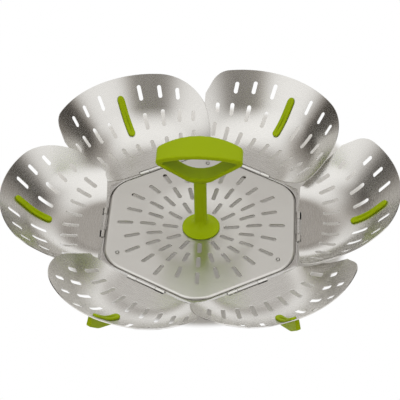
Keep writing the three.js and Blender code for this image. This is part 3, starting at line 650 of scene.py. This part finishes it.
tray = {
    "thickness": 0.8, "plateGap": 0.9, "borderWidth": 1.2, "borderDrop": 0.6, "cornerRadius": 1.5,
    "floorTop": 22.1, "openingRadius": 63, "edgeRadius": 0.35, "filletRadius": 0.5,
    "axisApothem": 72, "axisHeight": 24, "barrelRadius": 1.35, "boreRadius": 0.9, "knuckleLength": 16.2,
    "petalKnuckleLength": 7.3, "clearance": 0.3, "bendEase": 0.3, "tabReach": 1.9, "tabHalf": 0.4,
    "cornerSteps": 28, "crowding": 1.6,  # the same on every outline, so that the rings match
}
hingeStart = tray["knuckleLength"] / 2 + tray["clearance"]
hingeEnd = hingeStart + tray["petalKnuckleLength"]


def rolledKnuckle(name, outer, inner, start, end, tabReach, tabHalf):  # tube along Y with a tab along X
    opening = asin(tabHalf / outer)
    outline = [(tabReach, -tabHalf), (tabReach, tabHalf)]
    outline += arc(0, 0, outer, opening, 2 * pi - opening, 36)
    solid = prism(name, outline, -end, -start, Matrix.Rotation(pi / 2, 4, "X"))
    bore = prism("bore", arc(0, 0, inner, 0, 2 * pi * 35 / 36, 35), -end - 1, -start + 1,
                 Matrix.Rotation(pi / 2, 4, "X"))
    outwards(solid.data)
    outwards(bore.data)
    return cut(solid, bore)


def sidePlace(i, apothem, height):
    turn = Matrix.Rotation(2 * pi * i / sides, 4, "Z")
    return turn @ Matrix.Translation((apothem, 0, height))


def buildFrame(s):
    apothem = plate["apothem"] + s["plateGap"]
    radius = plate["cornerRadius"] + s["plateGap"]
    outer = apothem + s["borderWidth"]
    top = plate["top"] - s["borderDrop"]
    steps = s["cornerSteps"]

    def matched(outline, height):  # ring along directions that crowd at the corners
        ring = []
        for i in range(sides):
            for k in range(steps):
                t = k / steps * 2 - 1
                turn = (2 * i + 1) * pi / sides + pi / sides * (abs(t) ** s["crowding"]) * (1 if t > 0 else -1)
                r = outlineRadius(turn, *outline) if outline else s["openingRadius"]
                ring.append((r * cos(turn), r * sin(turn), height))
        return ring

    def outlineRadius(turn, a, r):  # distance to the rounded hexagon in a direction
        offset = (turn + pi / sides) % (2 * pi / sides) - pi / sides
        if a * tan(abs(offset)) <= (a - r) * tan(pi / sides):
            return a / cos(offset)
        centre = (a - r) / cos(pi / sides)
        away = pi / sides - abs(offset)
        return centre * cos(away) + (r * r - (centre * sin(away)) ** 2) ** 0.5

    edge, fillet, wall, ease = s["edgeRadius"], s["filletRadius"], s["thickness"], s["bendEase"]
    floor, under = s["floorTop"], s["floorTop"] - wall
    rings = [matched(None, floor)]
    for a in quarter:
        short = fillet * (1 - sin(a))
        rings.append(matched((apothem - short, radius - short), floor + fillet * (1 - cos(a))))
    for a in quarter:
        grow = edge * (1 - cos(a))
        rings.append(matched((apothem + grow, radius + grow), top - edge * (1 - sin(a))))
    for a in quarter:
        short = edge * (1 - sin(a))
        rings.append(matched((outer - short, s["cornerRadius"] - short), top - edge * (1 - cos(a))))
    rings.append(matched((outer, s["cornerRadius"]), top - wall))
    rings.append(matched((apothem + wall + ease, radius + wall + ease), top - wall))
    rings.append(matched((apothem + wall, radius + wall), top - wall - ease))
    for a in quarter:
        inset = (fillet + ease) * (1 - cos(a))
        height = under + (fillet + ease) * (1 - sin(a))
        rings.append(matched((apothem + wall - inset, radius + wall - inset), height))
    rings.append(matched(None, under))
    made = loft("baseFrame", rings, closed=True)
    reach, half = s["barrelRadius"] + s["clearance"], s["knuckleLength"] / 2
    room = hingeEnd + s["clearance"]
    for i in range(sides):
        place = sidePlace(i, s["axisApothem"], s["axisHeight"])
        for start, end in ((half, room), (-room, -half)):
            relief = [(-reach, start), (reach, start), (reach, end), (-reach, end)]
            cut(made, prism("relief", relief, -reach, reach, place))
        knuckle = rolledKnuckle("knuckle", s["barrelRadius"], s["boreRadius"], -half, half, -s["tabReach"],
                                s["tabHalf"])
        knuckle.data.transform(place)
        joinInto(made, knuckle)
    smooth(made.data)
    finish(made, "base", frameSteel, ["base_frame"])


buildFrame(tray)
print("frame ready")

# Petals: one slotted piece of a bowl, made once and set on each side

petal = {
    "thickness": 0.6, "shift": 5.2, "twist": -3.1, "axisSetback": 2.82, "axisSide": -1.31,
    "flatRadius": 23.8, "curveRadius": 45.5, "wallAngle": 49.7, "rimRadius": 75.8,
    "side": (43, 26.9), "lappedSide": (20, 43.8), "edgeGap": 0.2, "edgeRise": 1.1, "straightShare": 0.4,
    "cornerInset": 0.6, "lapAngle": 47, "lapReach": 12, "lapTurn": 24, "cornerCut": 1.5, "knuckleRelief": 0.85,
    "step": 1.3, "slotWidth": 3.2, "tabHalf": 0.3, "overrun": 2, "slack": 0.03,
    "sideEase": 1.1, "sideEaseEnd": 30, "sideEaseRun": 12,  # room for the folded neighbour, near the root
}
slotRows = [  # an oval's middle and reaches, degrees between slots, and each slot's share of the length
    {"centre": -8.3, "reach": 33, "side": 62.2, "step": 10.6, "fan": 86, "length": 13,
     "places": [-4, -3, -2, -1, 0, 1, 2, 3, 4], "shares": [1, 1, 1, 1, 0.92]},
    {"centre": 12.5, "reach": 34, "side": 55.5, "step": 14.9, "fan": 88, "length": 13.6,
     "places": [-4, -3, -2, -1, 1, 2, 3, 4], "shares": [0, 1, 1, 0.76, 0.6]},
    {"centre": 25.4, "reach": 38, "side": 53.7, "step": 17.6, "fan": 140, "length": 12.4,
     "places": [-3, -2, -1, 1, 2, 3], "shares": [0, 1, 0.82, 0.75]},
]
petalPlace = Matrix.Translation((0, petal["shift"], 0)) @ Matrix.Rotation(radians(petal["twist"]), 4, "Z")
axisPoint = petalPlace @ Vector((-petal["axisSetback"], petal["axisSide"], 0))


def bowlFace(x, y, s=petal):  # height and upward normal of the inner face, in the hinge's frame
    dx, dy = x - axisPoint.x, y - axisPoint.y
    reach = max(hypot(dx, dy), 1e-9)
    run = s["curveRadius"] * sin(radians(s["wallAngle"]))
    angle = asin(min(max(reach - s["flatRadius"], 0), run) / s["curveRadius"])
    past = max(reach - s["flatRadius"] - run, 0)
    height = s["thickness"] / 2 + s["curveRadius"] * (1 - cos(angle)) + past * tan(angle)
    return height, Vector((-dx / reach * sin(angle), -dy / reach * sin(angle), cos(angle)))


def bowlNormals(mesh, s=petal):  # exact normals on the sheet's two faces, so that no facet shows
    mesh.update()
    corners = [Vector(n.vector) for n in mesh.corner_normals]
    for face in mesh.polygons:
        for loop in face.loop_indices:
            x, y, z = mesh.vertices[mesh.loops[loop].vertex_index].co
            height, normal = bowlFace(x, y)
            away = (z - height) * normal.z
            if abs(away) < s["slack"] and face.normal.dot(normal) > 0.9:
                corners[loop] = normal
            elif abs(away + s["thickness"]) < 2 * s["slack"] and face.normal.dot(normal) < -0.9:
                corners[loop] = -normal
    mesh.normals_split_custom_set(corners)


def petalSide(radius, angle, s):  # a round from the rim's end, then straight back where it falls short
    reach, turn = s["rimRadius"] - radius, radians(angle)
    x, y = reach * cos(turn) - s["axisSetback"], reach * sin(turn)
    run = x + s["overrun"]
    if run > radius:
        return arc(x, y, radius, turn, pi / 2, 40) + [(-s["overrun"], y + radius)]
    return arc(x, y, radius, turn, pi / 2 + asin(run / radius), 40)


def buildPetal(s):
    reach = s["rimRadius"]
    rim = arc(-s["axisSetback"], 0, reach, -radians(s["side"][1]), radians(s["lappedSide"][1]), 72)
    left = petalSide(*s["lappedSide"], s)
    right = []
    for x, y in petalSide(*s["side"], s)[::-1]:
        share = min(max((s["sideEaseEnd"] - x) / s["sideEaseRun"], 0), 1)
        right.append((x, -y + s["sideEase"] * share))
    outline = right[:-1] + rim + left[1:]
    far, edge = reach + 2, s["edgeGap"] + s["edgeRise"]
    half = tray["axisApothem"] * tan(pi / sides)
    corner, straight = half - s["cornerInset"], half * s["straightShare"]
    lapX, lapY = edge + s["lapReach"], corner + s["lapReach"] * tan(radians(s["lapAngle"]))
    cutX = edge + s["cornerCut"]
    bounds = [(edge, -corner), (cutX, -corner - 2 * s["cornerCut"]), (cutX, -far), (far, -far),
              (far, lapY + (far - lapX) * tan(radians(s["lapTurn"]))), (lapX, lapY), (edge, corner),
              (s["edgeGap"], straight), (s["edgeGap"], -straight)]
    blank = gridSlab("petalBlank", -0.5, far, -far * 0.75, far * 0.85, s["step"])
    cut(blank, prism("outline", outline, -3, 3, petalPlace), "INTERSECT")
    cut(blank, prism("bounds", bounds, -3, 3), "INTERSECT")
    tabReach = tray["barrelRadius"] + s["knuckleRelief"]
    back = -s["overrun"]
    relief = [(back, -hingeStart), (tabReach, -hingeStart), (tabReach, hingeStart), (back, hingeStart)]
    cut(blank, prism("relief", relief, -3, 3))
    places = []
    for row in slotRows:
        for place in row["places"]:
            turn = radians(place * row["step"])
            x, y = row["centre"] + row["reach"] * cos(turn), row["side"] * sin(turn)
            at = petalPlace @ Vector((x, y, 0))
            up = bowlFace(at.x, at.y)[1]
            fan = atan(y / row["fan"]) + radians(s["twist"])
            along = Vector((-sin(fan), cos(fan), 0)).cross(up).normalized()
            axes = Matrix((along, up.cross(along), up)).transposed()
            run = (row["length"] * row["shares"][abs(place)] - s["slotWidth"]) / 2
            places.append({"at": at, "turn": axes.to_euler(), "along": along * run})
    made = formed("petalPattern", places, blank, bowlTree(), {
        "Slot Width": s["slotWidth"], "Axis X": axisPoint.x, "Axis Y": axisPoint.y,
        "Flat Radius": s["flatRadius"], "Curve Radius": s["curveRadius"],
        "Wall Angle": radians(s["wallAngle"]), "Face Height": s["thickness"] / 2,
    })
    outwards(made.data)
    if sum(f.normal.z * f.area for f in made.data.polygons) < 0:
        made.data.flip_normals()
    modify(made, "SOLIDIFY", thickness=s["thickness"], offset=-1, use_even_offset=True)
    settle(made)
    for start, end in ((hingeStart, hingeEnd), (-hingeEnd, -hingeStart)):
        joinInto(made, rolledKnuckle("tab", tray["barrelRadius"], tray["boreRadius"], start, end, tabReach,
                                     s["tabHalf"]))
    smooth(made.data)
    bowlNormals(made.data)
    return made


def setOnSides(pattern, name, node, materials):  # one copy on each petal's body
    for i, material in enumerate(materials):
        copy = addObject(f"{name}_{i + 1}", pattern.data.copy())
        place = toMetres @ sidePlace(i, tray["axisApothem"], tray["axisHeight"])
        finish(copy, f"petal_body_{i + 1}", material, [f"{node}_{i + 1}"], place)
    bpy.data.objects.remove(pattern)


petalSteels = [brushedSteel(steels["petal"], 2 * pi * i / sides + pi / 2, f" {i + 1}") for i in range(sides)]
setOnSides(buildPetal(petal), "petalSheet", "petal", petalSteels)
print("petals ready")

# Moulded feet: a strip inside each petal, a rib behind it, a web between them through the sheet

foot = {
    "start": 38.7, "end": 64, "width": 5.5, "height": 1.5, "seat": 0.15, "edgeRadius": 0.7,
    "topInsets": (1.5, 2.1, 2.6), "lowEdge": 0.15,
    "webWidth": 2.6, "webInset": 7.3, "webHeights": (-2, 1), "ribThickness": 3.2, "ribRoot": 40.5,
    "ribTop": 66.9, "ribHeel": (46, 3.4, 7), "ribBelly": (61.8, 12.5, 18), "ribToe": (70.8, 22.2, 1.8),
    "ribEdge": 0.8, "ribSteps": 24,
}


def stadium(length, width, steps=14, sideSteps=16):  # with points along its sides, so that it follows the bowl
    r, h = width / 2, (length - width) / 2
    side = [h - 2 * h * k / sideSteps for k in range(1, sideSteps)]
    there = arc(h, 0, r, -pi / 2, pi / 2, steps) + [(x, r) for x in side]
    return there + arc(-h, 0, r, pi / 2, 3 * pi / 2, steps) + [(-x, -r) for x in side]


def buildFoot(s):
    middle = (s["start"] + s["end"]) / 2
    length = s["end"] - s["start"]

    def onSheet(inset, lift):
        ring = []
        for x, y in stadium(length - 2 * inset, s["width"] - 2 * inset):
            at = petalPlace @ Vector((x + middle, y, 0))
            height, normal = bowlFace(at.x, at.y)
            ring.append(Vector((at.x, at.y, height)) + normal * lift)
        return ring

    edge, top = s["edgeRadius"], s["seat"] + s["height"]
    rings = [onSheet(s["lowEdge"], s["seat"]), onSheet(0, s["seat"] + s["lowEdge"])]
    rings += [onSheet(edge * (1 - cos(a)), top - edge * (1 - sin(a))) for a in quarter]
    rings += [onSheet(inset, top) for inset in s["topInsets"]]
    strip = loft("strip", rings)
    under = []
    for k in range(s["ribSteps"] + 1):
        x = s["ribTop"] - (s["ribTop"] - s["ribRoot"]) * k / s["ribSteps"]
        at = petalPlace @ Vector((x, 0, 0))
        height, normal = bowlFace(at.x, at.y)
        down = Vector((at.x, at.y, height)) - normal * (petal["thickness"] + s["seat"])
        flat = petalPlace.inverted() @ down
        under.append((flat.x, flat.z, 0))
    outline = roundedOutline(under + [s["ribHeel"], s["ribBelly"], s["ribToe"]], 8)
    stand = petalPlace @ Matrix.Rotation(pi / 2, 4, "X")
    rib = prism("rib", outline, -s["ribThickness"] / 2, s["ribThickness"] / 2, stand)
    outwards(rib.data)
    modify(rib, "BEVEL", width=s["ribEdge"], segments=4, limit_method="ANGLE", angle_limit=radians(50))
    settle(rib)
    flat = stadium(length - 2 * s["webInset"], s["webWidth"])
    places = [petalPlace @ Vector((x + middle, y, 0)) for x, y in flat]
    rings = [[at + Vector((0, 0, bowlFace(at.x, at.y)[0] + z)) for at in places] for z in s["webHeights"]]
    joinInto(strip, rib, loft("web", rings))
    smooth(strip.data, 40)
    return strip


setOnSides(buildFoot(foot), "petalFoot", "petal_foot", [greenPlastic] * sides)
print("petal feet ready")

# Handle: moulded post with a flared disc below and a flat loop above

handle = {
    "base": 21.8, "level": 25, "postWidth": 9.2, "postDepth": 8, "postRadius": 2.5, "neckHeight": 44.8,
    "discRadius": 14, "discEdge": 1.4, "flareHeight": 7, "boreRadius": 2.3, "boreDepth": 22,
    # the loop seen from the front
    "halfWidth": 34.6, "cornerHeight": 67, "cornerRadius": 3.8, "peakHeight": 83.8, "archFill": 0.98,
    "strap": 3, "archStrap": 3.8, "holeCornerRadius": 2, "holeBottomRadius": 20.5,
    # the loop seen from above
    "depth": 22.8, "endDepth": 15.5, "endReach": 29, "endRadius": 7,
    # the loop seen from the side
    "shoulderHeight": 72, "sideDepth": 15, "sideHeight": 66, "waistDepth": 13, "waistHeight": 48,
    "voxel": 0.5, "rounding": 7,  # mesh that the pieces are melted into, and passes that round its edges
}


def archCorners(x, y, peak, radius, slope, fill):
    archAngle = atan2(peak - y, x)
    run = radius / tan((atan(slope) + archAngle) / 2)
    room = hypot(x, peak - y) - run
    return [(x, y, radius), (0, peak, fill * room / tan(archAngle)), (-x, y, radius)]


def buildHandle(s):
    base, width = s["level"], s["halfWidth"]
    slope = (s["cornerHeight"] - s["neckHeight"]) / (width - s["postWidth"] / 2)
    archSlope = (s["peakHeight"] - s["cornerHeight"]) / width
    neckX, neckY = s["postWidth"] / 2, base + s["neckHeight"]
    stand = Matrix.Rotation(pi / 2, 4, "X")
    cornerY, peak, fill = base + s["cornerHeight"], base + s["peakHeight"], s["archFill"]
    top = archCorners(width, cornerY, peak, s["cornerRadius"], slope, fill)
    outline = roundedOutline([(neckX, neckY, 0), *top, (-neckX, neckY, 0)], 40)
    crossing = neckY - slope * s["postWidth"] / 2
    bottomY = crossing + s["strap"] * hypot(1, slope)
    peakY = peak - s["archStrap"] * hypot(1, archSlope)
    cornerX = (peakY - bottomY) / (slope + archSlope)
    hole = [(0, bottomY, s["holeBottomRadius"])]
    hole += archCorners(cornerX, bottomY + slope * cornerX, peakY, s["holeCornerRadius"], slope, fill)
    sag = (s["depth"] - s["endDepth"]) / 2
    radius = (s["endReach"] ** 2 + sag ** 2) / (2 * sag)
    end = s["endRadius"]
    swing = asin((width - end) / (radius - end))
    centre = s["depth"] / 2 - radius
    endX, endY = (radius - end) * sin(swing), centre + (radius - end) * cos(swing)
    plan = arc(0, centre, radius, pi / 2 - swing, pi / 2 + swing, 60)
    plan += arc(-endX, endY, end, pi / 2 + swing, pi, 10)
    plan += arc(-endX, -endY, end, pi, 3 * pi / 2 - swing, 10)
    plan += arc(0, -centre, radius, -pi / 2 - swing, -pi / 2 + swing, 60)
    plan += arc(endX, -endY, end, swing - pi / 2, 0, 10)
    plan += arc(endX, endY, end, 0, pi / 2 - swing, 10)
    half = [(s["postDepth"] / 2, s["neckHeight"] - 1), (s["waistDepth"] / 2, s["waistHeight"]),
            (s["sideDepth"] / 2, s["sideHeight"]), (s["depth"] / 2, s["shoulderHeight"]),
            (s["depth"] / 2, s["peakHeight"] + 1)]
    side = [(y, base + z) for y, z in half] + [(-y, base + z) for y, z in half[::-1]]
    across = Matrix(((0, 0, 1, 0), (1, 0, 0, 0), (0, 1, 0, 0), (0, 0, 0, 1)))
    made = prism("postAndLoop", outline, -s["depth"], s["depth"], stand)
    outwards(made.data)
    tools = [(prism("plan", plan, base, base + s["peakHeight"] + 2), "INTERSECT"),
             (prism("side", side, -width - 1, width + 1, across), "INTERSECT"),
             (prism("hole", roundedOutline(hole, 40), -s["depth"], s["depth"], stand), "DIFFERENCE")]
    w, d, r = s["postWidth"] / 2, s["postDepth"] / 2, s["postRadius"]
    corners = [(w, -d, r), (w, d, r), (-w, d, r), (-w, -d, r)]
    tools.append((prism("post", roundedOutline(corners, 10), s["base"], neckY + s["strap"] / 2), "UNION"))
    flareTop = s["base"] + s["discEdge"] + s["flareHeight"]
    flare = arc(s["discRadius"], flareTop, s["flareHeight"], -pi / 2, -pi, 16)
    spread = (s["discRadius"] - w) / s["flareHeight"]
    profile = [(0, s["base"]), (s["discRadius"], s["base"])]
    profile += [(s["discRadius"] + (x - s["discRadius"]) * spread, y) for x, y in flare] + [(0, flareTop)]
    tools.append((turned("disc", profile, 96), "UNION"))
    low, high, bore = s["base"] - 1, s["base"] + s["boreDepth"], s["boreRadius"]
    tools.append((turned("bore", [(0, low), (bore, low), (bore, high), (0, high)], 32), "DIFFERENCE"))
    for tool, operation in tools:
        outwards(tool.data)
        cut(made, tool, operation)
    modify(made, "REMESH", mode="VOXEL", voxel_size=s["voxel"], use_smooth_shade=True)
    modify(made, "SMOOTH", factor=0.5, iterations=s["rounding"])
    settle(made)
    made.data.shade_smooth()
    finish(made, "base", greenPlastic, ["handle"])


buildHandle(handle)
print("handle ready")

# Legs, rivets, hinge wires, washer and screw; one node tree sets out those that repeat

play = 0.3  # between pieces that sit one in the other
leg = {"shoulderRadius": 5.1, "shoulderEdge": (0.5, 1), "footRadius": 5.6, "footEdge": 1.2, "neckRadius": 2.9}
rivet = {
    "radius": 1.6, "height": 0.5, "lift": 0.15, "shankRadius": 0.9, "depth": 9,
    # the grooved head from its edge to its middle, in shares of its radius and height
    "head": [(1, 0), (1, 0.5), (0.95, 0.8), (0.88, 0.8), (0.84, 0), (0.64, 0), (0.6, 0.8), (0.5, 1), (0, 1)],
}
pin = {"radius": 0.6, "edge": 0.2}
washer = {"radius": 6, "thickness": 1, "edge": 0.15}
screw = {
    "headRadius": 4, "headHeight": 2.6, "headEdge": 0.8, "radius": 2, "length": 22, "neckDepth": 0.1,
    "neckLength": 4.6, "threads": 24, "threadStart": 5, "threadPitch": 0.65, "threadDepth": 0.3,
    "tipDepth": 0.4, "tipLength": 0.6, "crossReach": 1.9, "crossHalf": 0.4, "crossDepth": 1.4,
}
plateUnder = plate["top"] - plate["thickness"]
rivetPlaces = (plate["rivets"], plate["rivetCircle"], radians(plate["rivetTurn"]))


def setOutTree():
    tree, given = startTree("setOutRound", {
        "Piece": "Geometry", "Count": "Int", "First Turn": "Float", "Radius": "Float", "Height": "Float",
        "Material": "Material",
    }, "Pieces")
    index = addNode(tree, "GeometryNodeInputIndex")
    step = addNode(tree, "ShaderNodeMath", {0: 2 * pi, 1: given["Count"]}, operation="DIVIDE")
    turn = addNode(tree, "ShaderNodeMath", {0: index, 1: step, 2: given["First Turn"]},
                   operation="MULTIPLY_ADD")
    spin = addNode(tree, "ShaderNodeCombineXYZ", {"Z": turn})
    out = addNode(tree, "ShaderNodeCombineXYZ", {"X": given["Radius"], "Z": given["Height"]})
    place = addNode(tree, "ShaderNodeVectorRotate", {"Vector": out, "Angle": turn}, rotation_type="Z_AXIS")
    points = addNode(tree, "GeometryNodePoints", {"Count": given["Count"], "Position": place})
    heading = addNode(tree, "FunctionNodeEulerToRotation", {0: spin})
    pieces = addNode(tree, "GeometryNodeInstanceOnPoints", {
        "Points": points, "Instance": given["Piece"], "Rotation": heading,
    })
    real = addNode(tree, "GeometryNodeRealizeInstances", {"Geometry": pieces})
    coated = addNode(tree, "GeometryNodeSetMaterial", {"Geometry": real, "Material": given["Material"]})
    addNode(tree, "NodeGroupOutput", {"Pieces": coated})
    return tree


roundTree = setOutTree()


def setOut(piece, material, count, radius, firstTurn=0, height=0):
    runTree(piece, roundTree, {
        "Count": count, "First Turn": firstTurn, "Radius": radius, "Height": height, "Material": material,
    })
    smooth(piece.data)


def buildLegs(s):
    shoulder = tray["floorTop"] - tray["thickness"] - play
    top = plateUnder - play
    hole, holeEnd = rivet["shankRadius"] + play, top - rivet["depth"] - play
    edge = s["footEdge"]
    bends = [pi / 12 * k for k in range(7)]
    profile = [(0, 0)] + [(s["footRadius"] - edge + edge * sin(a), edge - edge * cos(a)) for a in bends]
    profile += [(s["shoulderRadius"], shoulder - s["shoulderEdge"][1])]
    profile += [(s["shoulderRadius"] - s["shoulderEdge"][0], shoulder), (s["neckRadius"], shoulder)]
    profile += [(s["neckRadius"], top), (hole, top), (hole, holeEnd), (0, holeEnd)]
    made = turned("legs", profile, 48)
    setOut(made, greenPlastic, *rivetPlaces)
    finish(made, "base", greenPlastic, ["base_foot_1", "base_foot_2", "base_foot_3"])


def buildRivets(s):
    low, seat = plateUnder - play - s["depth"], plate["top"] + s["lift"]
    profile = [(0, low), (s["shankRadius"], low), (s["shankRadius"], seat)]
    profile += [(s["radius"] * x, seat + s["height"] * z) for x, z in s["head"]]
    made = turned("rivets", profile, 40)
    setOut(made, rivetSteel, *rivetPlaces)
    finish(made, "base", rivetSteel, ["foot_rivet_1", "foot_rivet_2", "foot_rivet_3"])


def buildPins(s):
    radius, edge = s["radius"], s["edge"]
    half = [(radius, hingeEnd - edge), (radius - edge, hingeEnd), (0, hingeEnd)]
    made = turned("hingePins", [(x, -z) for x, z in half[::-1]] + half, 20)
    made.data.transform(Matrix.Rotation(pi / 2, 4, "X"))
    setOut(made, wireSteel, sides, tray["axisApothem"], height=tray["axisHeight"])
    finish(made, "base", wireSteel, [f"hinge_pin_{i + 1}" for i in range(sides)])


def buildWasher(s, top):
    low, bore, reach, edge = top - s["thickness"], screw["radius"] + play, s["radius"], s["edge"]
    profile = [(bore, low), (reach - edge, low), (reach, low + edge), (reach, top - edge), (reach - edge, top)]
    made = turned("washer", profile + [(bore, top)], 48, closed=True)
    smooth(made.data)
    finish(made, "base", wireSteel, ["handle_washer"])
    return low


def buildScrew(s, top):
    reach, radius, dome = s["headRadius"], s["radius"], s["headHeight"] - s["headEdge"]
    neck = radius - s["neckDepth"]
    profile = [(reach * sin(a), top - s["headEdge"] - dome * cos(a)) for a in (pi / 20 * k for k in range(11))]
    profile += [(reach, top), (neck, top), (neck, top + s["neckLength"])]
    for k in range(s["threads"]):
        z = top + s["threadStart"] + k * s["threadPitch"]
        profile += [(radius - s["threadDepth"], z), (radius, z + s["threadDepth"])]
    profile += [(radius - s["tipDepth"], top + s["length"] - s["tipLength"]), (0, top + s["length"])]
    made = turned("screw", profile, 40)
    x, y, low = s["crossReach"], s["crossHalf"], top - s["headHeight"]
    for turn in (0, pi / 2):
        recess = [(-x, -y), (x, -y), (x, y), (-x, y)]
        cut(made, prism("recess", recess, low - 1, low + s["crossDepth"], Matrix.Rotation(turn, 4, "Z")))
    smooth(made.data)
    finish(made, "base", wireSteel, ["handle_screw"])


buildLegs(leg)
buildRivets(rivet)
buildPins(pin)
washerLow = buildWasher(washer, plateUnder - plate["dishDepth"] - play)
buildScrew(screw, washerLow - play)
print("small pieces ready")
